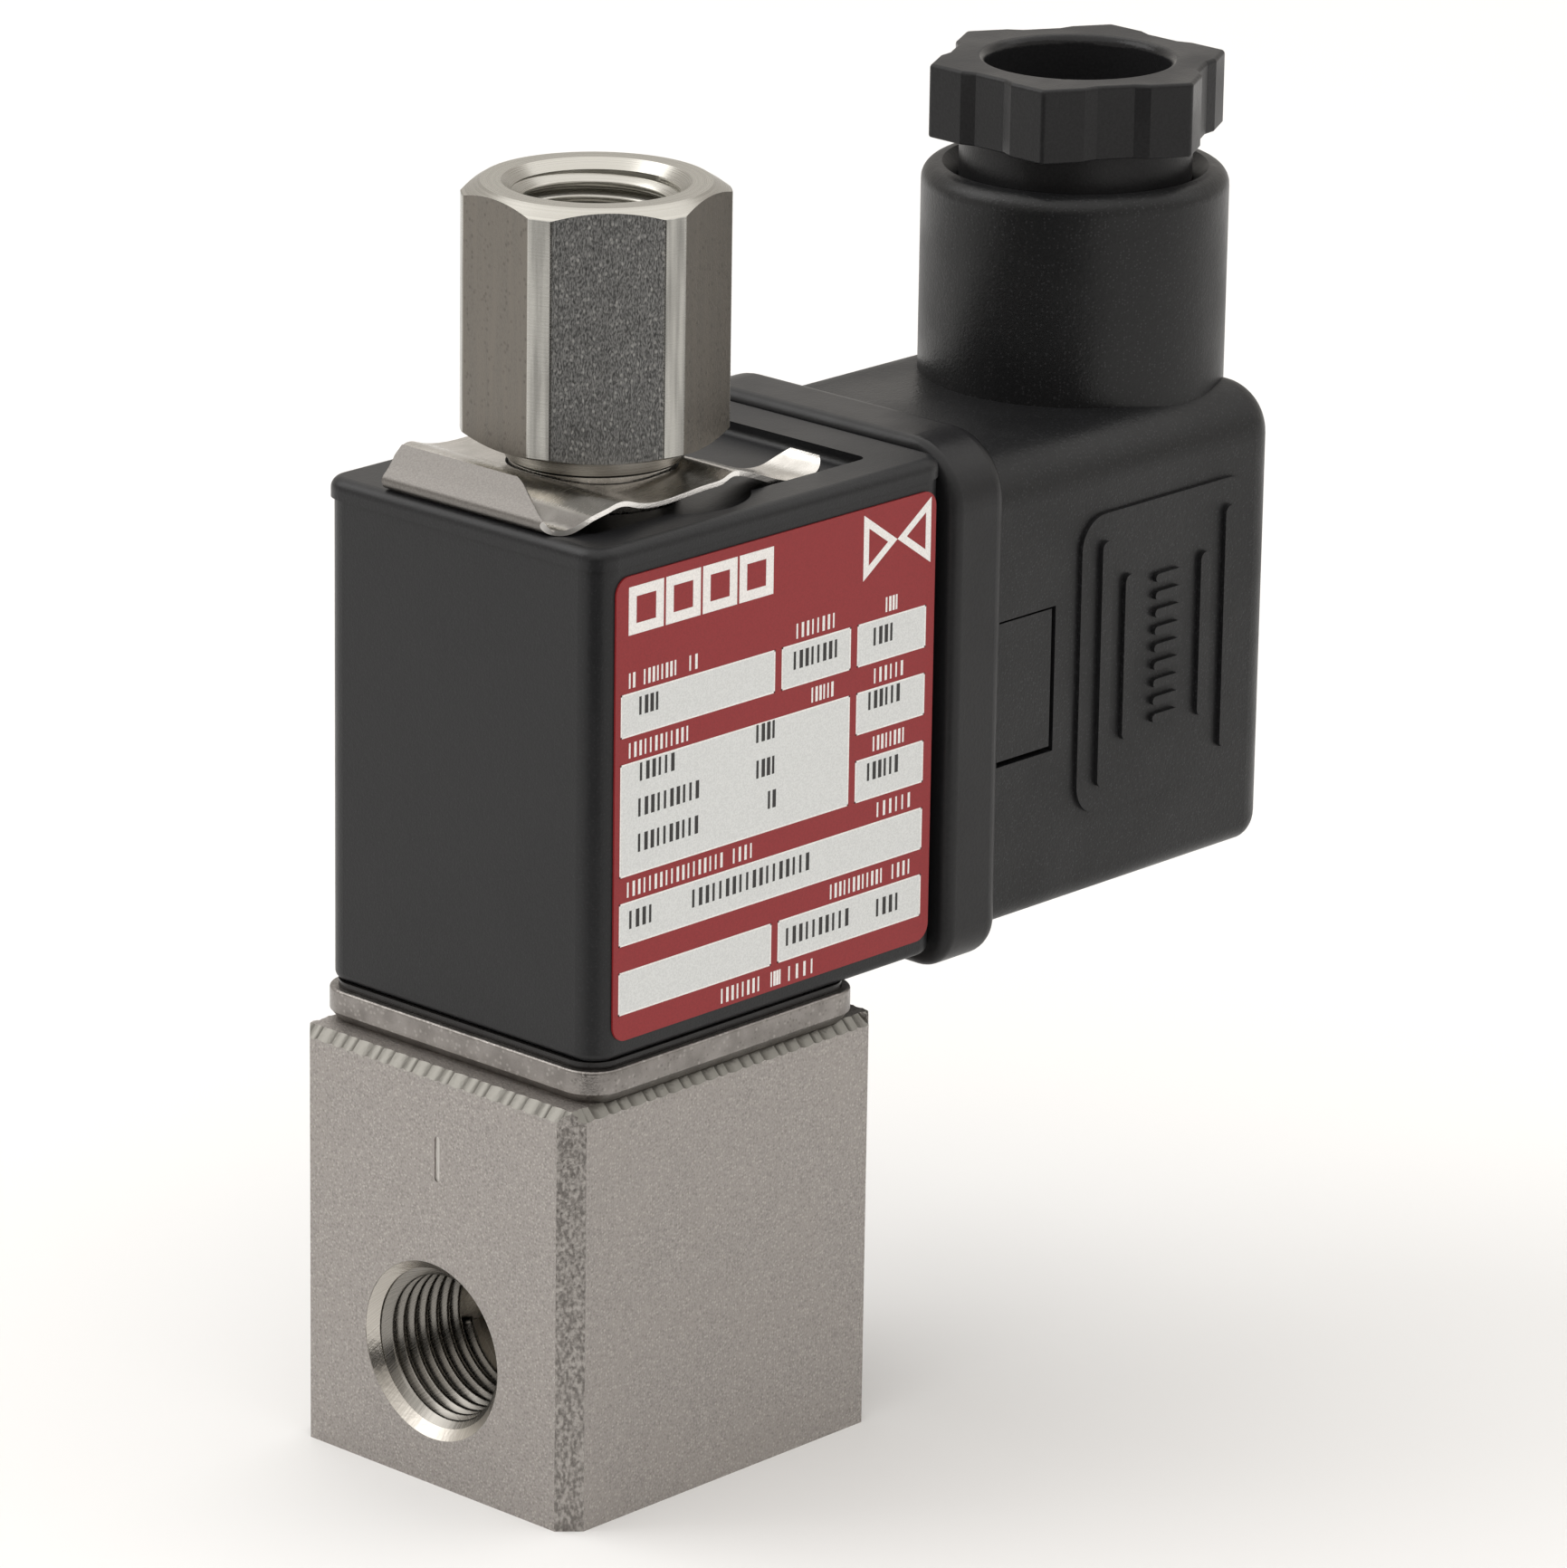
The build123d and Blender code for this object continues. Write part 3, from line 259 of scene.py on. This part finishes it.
def turned_steel():
    """Bar-stock hexagon: dull drawn flats, bright turned corners, bevel, collar and ports; one flat carries
    a painted reflection.
    """
    f = Finish("turned_steel", (0.4, 0.38, 0.35), 0.35, 1.0)
    on_corner = f.step(f.radius(), (HEX_CORNER_R - 0.06) * MM, (HEX_CORNER_R - 0.03) * MM)
    not_upright = f.step(f.facing("Z"), 0.2, 0.3)
    bevel = f.calc("SUBTRACT", not_upright, f.step(f.facing("Z"), 0.97, 0.98))
    collar = f.inverse(f.step(f.axis("Z"), (HEX_BOTTOM - 0.05) * MM, HEX_BOTTOM * MM))
    bore = f.inverse(f.step(f.radius(), (THREAD_MOUTH_R + 0.15) * MM, (THREAD_MOUTH_R + 0.17) * MM))
    turned = f.either(on_corner, not_upright, collar, bore)

    # The flats: dull brown ones, and a lighter granular copy, a painted reflection, on the one that faces
    # the same way as FRONT_FLAT
    drawn = f.noise(0.085, 2.0, (1, 1, 2.2))
    streak = f.noise(0.45, 2.0, (1, 1, 16.0))
    brown = f.mix(drawn, (0.145, 0.134, 0.118), (0.197, 0.182, 0.16))
    brown = f.veil(brown, streak, 0.4, (0.21, 0.187, 0.16))
    brown = f.veil(brown, f.specks(0.32, 0.25, shift=12.0), 0.35, (0.05, 0.045, 0.04))
    granular = f.mix(drawn, (0.19, 0.19, 0.187), (0.37, 0.37, 0.362))
    granular = f.veil(granular, f.specks(0.3, 0.35, shift=2.0, stretch=1.4), 0.45, (0.085, 0.085, 0.085))
    # Pale specks on the front flat: painted glints
    granular = f.veil(granular, f.specks(0.24, 0.35, shift=9.0, stretch=1.3), 0.7, (0.62, 0.61, 0.59))
    along_x = f.times(f.axis("X", "Normal"), FRONT_FLAT[0])
    along_y = f.times(f.axis("Y", "Normal"), FRONT_FLAT[1])
    flat = f.mix(f.step(f.calc("ADD", along_x, along_y), 0.8, 0.9), brown, granular)

    rings = f.rings(0.09)
    bright = f.mix(rings, (0.46, 0.449, 0.41), (0.59, 0.576, 0.525))
    bright = f.mix(bevel, bright, f.mix(rings, (0.42, 0.408, 0.375), (0.52, 0.505, 0.465)))
    # Upright lighter streaks on the turned corners: painted highlight streaks
    bright = f.mix(on_corner, bright, f.mix(streak, (0.27, 0.265, 0.249), (0.44, 0.433, 0.406)))
    bright = f.mix(collar, bright, f.mix(rings, (0.2, 0.19, 0.173), (0.31, 0.295, 0.27)))
    f.colour(f.mix(turned, flat, bright))
    f.roughness(f.mix(turned, f.mix(drawn, 0.34, 0.5), f.mix(rings, 0.22, 0.34)))
    f.bump((f.mix(turned, drawn, f.times(rings, 0.12)), 6))
    return f.material


def bright_steel(name, colour, rough, pitch):
    """Turned or rolled steel with fine rings."""
    f = Finish(name, colour, rough, 1.0)
    rings, grain = f.rings(pitch), f.noise(0.3, 2.0)
    f.colour(f.mix(rings, tuple(0.86 * c for c in colour), colour))
    f.roughness(f.mix(grain, rough - 0.06, rough + 0.08))
    f.bump((rings, 3), (grain, 2))
    return f.material


def strip_steel():
    """Clip of spring strip: faint rolling lines, matt outside of the lip, bright cut ends."""
    f = Finish("spring_steel", (0.60, 0.58, 0.55), 0.22, 1.0)
    lines, fine = f.noise(0.12, 3.0, (30, 1, 1)), f.noise(0.1, 2.0)
    faces_out = f.step(f.times(f.axis("X", "Normal"), -1.0), 0.3, 0.5)
    on_lip = f.inverse(f.step(f.axis("X"), CLIP_LIP_X * MM, (CLIP_LIP_X + 0.1) * MM))
    outside = f.times(faces_out, on_lip)
    cut = f.step(f.facing("Y"), 0.25, 0.35)
    sheet = f.mix(f.noise(1.8, 3.0, shift=2.0), (0.60, 0.58, 0.545), (0.74, 0.715, 0.68))
    matt = f.mix(fine, (0.17, 0.16, 0.15), (0.215, 0.203, 0.19))
    f.colour(f.mix(cut, f.mix(outside, sheet, matt), (0.88, 0.86, 0.83)))
    f.roughness(f.mix(outside, f.mix(lines, 0.16, 0.28), 0.44))
    f.bump((lines, 1.2), (fine, 1.5))
    return f.material


def moulded(name, colour, rough, size, depth, rough_spread=0.08, painted_glints=0.0, sheen=0.3, polished=None):
    """Moulded plastic, spark-eroded, with a share of painted glint specks; polished is a ring as (centre x,
    inner, outer radius).
    """
    f = Finish(name, colour, rough, Specular_IOR_Level=sheen)
    fine, medium = f.noise(size, 2.0), f.noise(size * 4.0, 2.0, shift=1.0)
    patch = f.noise(7.0, 3.0, shift=4.0)
    lighter = tuple(1.35 * c for c in colour)
    shade = f.mix(f.times(fine, f.mix(patch, 0.4, 0.8)), colour, lighter)
    # Pale specks on the black plastic: painted glints
    f.colour(f.veil(shade, f.specks(0.16, 0.3, shift=6.0), painted_glints, (0.12, 0.12, 0.13)))
    roughness = f.mix(patch, rough - rough_spread, rough + rough_spread)
    if polished:
        centre_x, inner, outer = polished
        radius, soft = f.radius(centre_x), 0.05
        ring = f.times(f.step(radius, (inner - soft) * MM, inner * MM),
                       f.inverse(f.step(radius, outer * MM, (outer + soft) * MM)))
        roughness = f.mix(ring, roughness, 0.14)
    f.roughness(roughness)
    f.bump((medium, depth * 0.8), (fine, depth))
    return f.material


def printed(name, colour, rough=0.38):
    """Printed plastic film: fine dust in the ink and a faint orange peel."""
    f = Finish(name, colour, rough, Specular_IOR_Level=0.35)
    dust, peel = f.noise(0.1, 2.0), f.noise(0.9, 2.0)
    darker = tuple(0.92 * c for c in colour)
    lighter = tuple(min(1.0, 1.06 * c + 0.004) for c in colour)
    f.colour(f.mix(dust, darker, lighter))
    f.roughness(f.mix(dust, rough - 0.05, rough + 0.07))
    f.bump((peel, 1.2))
    return f.material


def plain_metal(name, colour, rough):
    """Faintly mottled metal for the small inner parts."""
    f = Finish(name, colour, rough, 1.0)
    grain, patch = f.noise(0.2, 2.0), f.noise(1.5, 2.0)
    f.colour(f.mix(patch, tuple(0.85 * c for c in colour), colour))
    f.roughness(f.mix(grain, rough - 0.07, rough + 0.1))
    f.bump((grain, 4))
    return f.material


TURNED = turned_steel()
LABEL_RED = printed("label_red", (0.262, 0.014, 0.017))
RUBBER = moulded("rubber_black", (0.012, 0.011, 0.011), 0.2, 0.3, 3)
NYLON = moulded("bobbin_plastic", (0.30, 0.27, 0.22), 0.5, 0.3, 3)
BRASS = plain_metal("contact_brass", (0.72, 0.53, 0.26), 0.3)
ZINC = plain_metal("zinc_steel", (0.56, 0.57, 0.60), 0.32)
CORE = bright_steel("core_steel", (0.55, 0.54, 0.52), 0.3, 0.08)
COPPER = plain_metal("copper", (0.70, 0.33, 0.19), 0.35)
SEAL_RUBY = moulded("seal_ruby", (0.22, 0.03, 0.025), 0.45, 0.2, 2)

FINISHES = {
    "valve_body": blasted_steel(),
    "flange_plate": plate_steel(),
    "core_tube": bright_steel("tube_steel", (0.55, 0.53, 0.50), 0.28, 0.08),
    "exhaust_adaptor": TURNED,
    "coil_clip": strip_steel(),
    "coil_housing": moulded("coil_black", (0.0115, 0.0118, 0.013), 0.38, 0.14, 4, 0.04, painted_glints=0.05),
    "connector_gasket": moulded("gasket_black", (0.011, 0.011, 0.012), 0.38, 0.2, 3),
    "connector_housing": moulded("connector_black", (0.0093, 0.0096, 0.0103), 0.40, 0.18, 6, painted_glints=0.16),
    "gland_nut": moulded("nut_black", (0.0155, 0.0155, 0.0165), 0.36, 0.16, 5, sheen=0.2,
                         polished=(GLAND_X, NUT_BORE_R - 0.05, NUT_BORE_R + 0.35)),
    "name_plate": LABEL_RED,
    "yoke": ZINC,
    "fixing_screw": ZINC,
    "fixed_core": CORE,
    "plunger": CORE,
    "plunger_spring": bright_steel("wire_steel", (0.58, 0.57, 0.55), 0.25, 0.1),
    "shading_ring": COPPER,
    "coil_winding": COPPER,
    "coil_bobbin": NYLON,
    "terminal_block": NYLON,
    "gland_washer": NYLON,
}
for seal in ("body_o_ring", "adaptor_o_ring", "coil_base_seal", "cable_grommet", "screw_seal"):
    FINISHES[seal] = RUBBER
for seal in ("lower_seal", "upper_seal"):
    FINISHES[seal] = SEAL_RUBY
for pole in ("line_a", "line_b", "earth"):
    FINISHES[f"terminal_{pole}"] = BRASS
    FINISHES[f"contact_{pole}"] = BRASS
    FINISHES[f"clamp_screw_{pole}"] = ZINC

for node_name, node_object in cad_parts.items():
    node_object.data.materials.clear()
    node_object.data.materials.append(FINISHES[node_name])


# ---- Pieces --------------------------------------------------------------------

def piece(name, mesh, material, body, smooth=False):
    """Link a mesh piece that rides on a body."""
    data = bpy.data.meshes.new(name)
    mesh.to_mesh(data)
    mesh.free()
    data.materials.append(material)
    for polygon in data.polygons:
        polygon.use_smooth = smooth
    thing = bpy.data.objects.new(name, data)
    bpy.context.scene.collection.objects.link(thing)
    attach(thing, body)


def thread(name, mouth, inward, up):
    """A right-hand helical ridge inside a bore, cut away by the countersunk mouth."""
    inward, up = Vector(inward), Vector(up)
    side = inward.cross(up)
    half = THREAD_PITCH / 2
    flank = [(0.98 * half, THREAD_BORE_R + 0.05), (0.9 * half, THREAD_BORE_R - 0.01),
             (0.34 * half, THREAD_CREST_R + 0.06), (0.16 * half, THREAD_CREST_R + 0.005)]
    outline = [(-along, radius) for along, radius in flank] + flank[::-1]
    steps_per_turn = 72
    turns = (THREAD_DEPTH - THREAD_PITCH) / THREAD_PITCH
    mesh = bmesh.new()
    rows = []
    for index in range(int(turns * steps_per_turn) + 1):
        angle = 2 * pi * index / steps_per_turn
        depth = half + THREAD_PITCH * index / steps_per_turn
        out = up * cos(angle) + side * sin(angle)
        row = []
        for along, radius in outline:
            at = depth + along
            # The mouth is a 45 degree cone, and the ridge stays a hundredth inside the steel there
            cleared = max(radius, THREAD_MOUTH_R - at + 0.01)
            row.append(mesh.verts.new((Vector(mouth) + inward * at + out * cleared) * MM))
        rows.append(row)
    for before, after in zip(rows, rows[1:]):
        for k in range(len(outline) - 1):
            mesh.faces.new((before[k], after[k], after[k + 1], before[k + 1]))
        mesh.faces.new((before[-1], after[-1], after[0], before[0]))
    mesh.faces.new(rows[0])
    mesh.faces.new(reversed(rows[-1]))
    bmesh.ops.recalc_face_normals(mesh, faces=mesh.faces)
    piece(name, mesh, TURNED, "valve", smooth=True)


thread("port_1_thread", (-BODY_HALF_X, 0, PORT_LEVEL), (1, 0, 0), (0, 0, 1))
thread("port_2_thread", (BODY_HALF_X, 0, PORT_LEVEL), (-1, 0, 0), (0, 0, 1))
thread("port_3_thread", (0, 0, HEX_TOP), (0, 0, -1), (1, 0, 0))


def squeezed(name, node, body):
    """Stand for a CAD piece: a copy of its mesh that rides on a body, with the original hidden."""
    thing = bpy.data.objects.new(name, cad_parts[node].data.copy())
    bpy.context.scene.collection.objects.link(thing)
    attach(thing, body)
    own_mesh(thing)
    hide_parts(node)


squeezed("return_spring", "plunger_spring", "plunger")
squeezed("grommet_rubber", "cable_grommet", "coil")


# ---- Name plate artwork --------------------------------------------------------

def patch(mesh, x0, x1, z0, z1, lift):
    """A thin raised rectangle of ink on the plate; lift is in micrometres."""
    corners = []
    for y in (INK_ROOT, LABEL_FACE - lift * MM):
        for x, z in ((x0, z0), (x1, z0), (x1, z1), (x0, z1)):
            corners.append(mesh.verts.new(Vector((x, y, z)) * MM))
    mesh.faces.new(corners[4:])
    mesh.faces.new(reversed(corners[:4]))
    for a in range(4):
        b = (a + 1) % 4
        mesh.faces.new((corners[a], corners[b], corners[b + 4], corners[a + 4]))


def ribbon(mesh, points, width, lift):
    """A thin raised band of ink round a closed line of points in the plate's plane."""
    front = LABEL_FACE - lift * MM
    sides = []
    for index, (x, z) in enumerate(points):
        before, after = points[index - 1], points[(index + 1) % len(points)]
        arrive = Vector((x - before[0], z - before[1])).normalized()
        leave = Vector((after[0] - x, after[1] - z)).normalized()
        bisector = (Vector((-arrive.y, arrive.x)) + Vector((-leave.y, leave.x))).normalized()
        across = bisector * width / 2 / max(bisector.dot(Vector((-leave.y, leave.x))), 0.4)
        ring = []
        for sign, y in ((1, INK_ROOT), (1, front), (-1, front), (-1, INK_ROOT)):
            ring.append(mesh.verts.new(Vector((x + sign * across.x, y, z + sign * across.y)) * MM))
        sides.append(ring)
    for a, b in zip(sides, sides[1:] + sides[:1]):
        for k in range(4):
            mesh.faces.new((a[k], b[k], b[(k + 1) % 4], a[(k + 1) % 4]))


def ink(name, mesh, material):
    """A printed piece of the name plate."""
    bmesh.ops.recalc_face_normals(mesh, faces=mesh.faces)
    piece(name, mesh, material, "coil")


PAPER = printed("label_fields", (0.69, 0.705, 0.70), 0.42)
WHITE_INK = printed("label_white", (0.86, 0.84, 0.82), 0.4)
BLACK_INK = printed("label_black", (0.022, 0.02, 0.02), 0.45)

# How far each print stands out, in micrometres
PAPER_LIFT, WHITE_LIFT, BLACK_LIFT = 6, 9, 11

# Fields as (first row, last row, left edge, right edge)
FIELDS = [(0, 0, COLUMNS[2 * n], COLUMNS[2 * n + 1]) for n in range(3)]
FIELDS += [(1, 2, COLUMNS[0], COLUMNS[3]), (1, 1, *COLUMNS[4:]), (2, 2, *COLUMNS[4:])]
FIELDS += [(3, 3, COLUMNS[0], COLUMNS[5]), (4, 4, *COLUMNS[:2]), (4, 4, COLUMNS[2], COLUMNS[5])]

FRAME_LINE = 0.1

fields, frames = bmesh.new(), bmesh.new()
for first, last, x0, x1 in FIELDS:
    z1, z0 = ROW_TOPS[first], ROW_TOPS[last] - FIELD_H
    patch(fields, x0, x1, z0, z1, PAPER_LIFT)
    patch(frames, x0, x1, z1 - FRAME_LINE, z1, WHITE_LIFT)
    patch(frames, x0, x1, z0, z0 + FRAME_LINE, WHITE_LIFT)
    patch(frames, x0, x0 + FRAME_LINE, z0, z1, WHITE_LIFT)
    patch(frames, x1 - FRAME_LINE, x1, z0, z1, WHITE_LIFT)
ink("label_fields", fields, PAPER)
ink("label_frames", frames, WHITE_INK)


def words(mesh, row, lines, stroke, height, lift):
    """Stand-in print: each character is a pair of upright strokes, thick and thin by turns."""
    for x0, x1, rise, count in lines:
        cell = (x1 - x0) / count
        z0 = ROW_TOPS[row] + rise
        for index in range(count):
            left = x0 + cell * index
            thick = stroke * (1.5 if index % 2 else 1.0)
            thin = stroke * (1.0 if index % 2 else 1.5)
            patch(mesh, left, left + thick, z0, z0 + height, lift)
            patch(mesh, left + cell * 0.5, left + cell * 0.5 + thin, z0, z0 + height, lift)


# Caption words by row, as (left, right, rise over the row's top, characters)
CAPTIONS = (
    (0, ((-8.55, -7.9, 0.27, 1), (-7.35, -4.5, 0.27, 4), (-3.65, -2.7, 0.27, 1))),
    (0, ((5.2, 8.7, 0.27, 4), (12.75, 13.9, 0.27, 2))),
    (1, ((-8.5, -3.4, 0.27, 6), (6.55, 8.55, 0.27, 3), (11.85, 14.6, 0.27, 3))),
    (2, ((11.85, 14.75, 0.27, 4),)),
    (3, ((-8.55, -0.45, 0.27, 9), (0.15, 2.05, 0.27, 2), (12.3, 15.5, 0.27, 3))),
    (4, ((8.4, 13.1, 0.27, 6), (13.7, 15.55, 0.27, 2))),
    (4, ((-0.7, 2.8, -3.9, 4), (3.45, 4.4, -3.9, 2), (4.95, 7.5, -3.9, 2))),
)
# Typed values inside the fields, likewise
VALUES = (
    (0, ((-7.7, -5.9, -1.45, 2), (5.0, 8.95, -1.55, 4), (11.75, 13.65, -1.55, 2))),
    (1, ((-7.6, -4.55, -1.25, 3), (1.95, 3.75, -1.15, 2), (11.4, 14.3, -1.25, 3))),
    (1, ((-7.7, -2.5, -3.35, 5), (2.0, 3.75, -3.3, 2))),
    (1, ((-7.7, -2.55, -5.45, 5), (3.0, 3.78, -5.35, 1))),
    (2, ((11.4, 14.25, -1.45, 3),)),
    (3, ((-8.35, -6.2, -1.65, 2), (-3.2, 6.85, -1.6, 9))),
    (4, ((4.7, 10.3, -1.7, 5), (12.4, 14.6, -1.75, 2))),
)
captions, values = bmesh.new(), bmesh.new()
for row, lines in CAPTIONS:
    words(captions, row, lines, 0.13, 0.9, WHITE_LIFT)
for row, lines in VALUES:
    words(values, row, lines, 0.19, 1.08, BLACK_LIFT)
ink("label_captions", captions, WHITE_INK)
ink("label_values", values, BLACK_INK)

# In place of marks: a row of four plain frames, and the bow-tie symbol of a valve
MARK_LEFT, MARK_PITCH, MARK_SIDE = -8.3, 3.0, 2.2
MARK_BOTTOM = 53.55
BOW_BOTTOM, BOW_MIDDLE, BOW_TOP = 52.8, 54.35, 55.9

marks = bmesh.new()
for index in range(4):
    x0, z0 = MARK_LEFT + MARK_PITCH * index, MARK_BOTTOM
    x1, z1 = x0 + MARK_SIDE, z0 + MARK_SIDE
    ribbon(marks, [(x0, z0), (x1, z0), (x1, z1), (x0, z1)], 0.62, WHITE_LIFT)
for side, tip in ((11.0, 13.25), (16.3, 14.05)):
    ribbon(marks, [(side, BOW_BOTTOM), (tip, BOW_MIDDLE), (side, BOW_TOP)], 0.45, WHITE_LIFT)
ink("label_marks", marks, WHITE_INK)


# ---- Studio --------------------------------------------------------------------

scene = bpy.context.scene
scene.view_settings.view_transform = "Standard"

world = bpy.data.worlds.new("studio")
world.use_nodes = True
backdrop = world.node_tree.nodes["Background"]
backdrop.inputs["Color"].default_value = (0.63, 0.60, 0.56, 1.0)
backdrop.inputs["Strength"].default_value = 1.0
scene.world = world

FLOOR_RADIUS = 3.0
disc = bmesh.new()
bmesh.ops.create_circle(disc, cap_ends=True, radius=FLOOR_RADIUS, segments=128)
floor_data = bpy.data.meshes.new("floor")
disc.to_mesh(floor_data)
disc.free()
floor_data.materials.append(Finish("floor_paper", (0.86, 0.86, 0.86), 0.8).material)
floor = bpy.data.objects.new("floor", floor_data)
scene.collection.objects.link(floor)

AIM = Vector((0.008, 0.0, 0.04))
SOFTBOX_DISTANCE = 0.9


def softbox(name, angle, elevation, side, glow):
    """A square area light that faces the object; glow is the brightness of its face."""
    lamp = bpy.data.lights.new(name, "AREA")
    lamp.shape = "SQUARE"
    lamp.size = side
    lamp.energy = glow * pi * side * side
    a, e = radians(angle), radians(elevation)
    out = Vector((cos(a) * cos(e), sin(a) * cos(e), sin(e)))
    thing = bpy.data.objects.new(name, lamp)
    turn = out.to_track_quat("Z", "Y").to_matrix().to_4x4()
    thing.matrix_world = Matrix.Translation(AIM + out * SOFTBOX_DISTANCE) @ turn
    scene.collection.objects.link(thing)


softbox("overhead", 90, 88, 2.0, 0.85)
softbox("left_box", 125, 42, 0.6, 1.8)
softbox("right_box", -35, 30, 0.5, 0.5)


def black_card(name, corners):
    """A black flag that only reflections see, like the dark side of a studio behind the camera."""
    mesh = bmesh.new()
    mesh.faces.new([mesh.verts.new(corner) for corner in corners])
    data = bpy.data.meshes.new(name)
    mesh.to_mesh(data)
    mesh.free()
    data.materials.append(CARD_BLACK)
    card = bpy.data.objects.new(name, data)
    card.visible_camera = card.visible_diffuse = card.visible_shadow = card.visible_transmission = False
    scene.collection.objects.link(card)


def around(angle, distance, height):
    """A point by its angle and distance round the part, in metres."""
    return Vector((cos(radians(angle)) * distance, sin(radians(angle)) * distance, height))


CARD_BLACK = Finish("card_black", (0.01, 0.01, 0.01), 1.0, Specular_IOR_Level=0.0).material
CARD_FROM, CARD_TO = -170, -116
CARD_NEAR, CARD_FAR = 0.11, 0.75
CARD_LIFT, CARD_TOP = 0.0005, 0.25
black_card("floor_card", [around(CARD_FROM, CARD_NEAR, CARD_LIFT), around(CARD_FROM, CARD_FAR, CARD_LIFT),
                          around(CARD_TO, CARD_FAR, CARD_LIFT), around(CARD_TO, CARD_NEAR, CARD_LIFT)])
black_card("standing_card", [around(CARD_FROM, CARD_FAR, 0.0), around(CARD_FROM, CARD_FAR, CARD_TOP),
                             around(CARD_TO, CARD_FAR, CARD_TOP), around(CARD_TO, CARD_FAR, 0.0)])


# ---- Camera --------------------------------------------------------------------

CAMERA_AZIMUTH, CAMERA_ELEVATION, CAMERA_ROLL = radians(-47.08), radians(18.0), radians(0.87)
CAMERA_DISTANCE = 499.5 * MM
CAMERA_ACROSS, CAMERA_HEIGHT = 11.106 * MM, 40.153 * MM
SENSOR_WIDTH, CAMERA_LENS = 36.0, 197.83

towards = Vector((sin(CAMERA_AZIMUTH) * cos(CAMERA_ELEVATION), -cos(CAMERA_AZIMUTH) * cos(CAMERA_ELEVATION),
                  sin(CAMERA_ELEVATION)))
right = Vector((cos(CAMERA_AZIMUTH), sin(CAMERA_AZIMUTH), 0.0))
camera_data = bpy.data.cameras.new("camera")
camera_data.sensor_width = SENSOR_WIDTH
camera_data.lens = CAMERA_LENS
camera = bpy.data.objects.new("camera", camera_data)
stand = right * CAMERA_ACROSS + Vector((0, 0, CAMERA_HEIGHT)) + towards * CAMERA_DISTANCE
look = towards.to_track_quat("Z", "Y").to_matrix().to_4x4()
camera.matrix_world = Matrix.Translation(stand) @ look @ Matrix.Rotation(CAMERA_ROLL, 4, "Z")
scene.collection.objects.link(camera)
scene.camera = camera

bpy.context.view_layer.update()
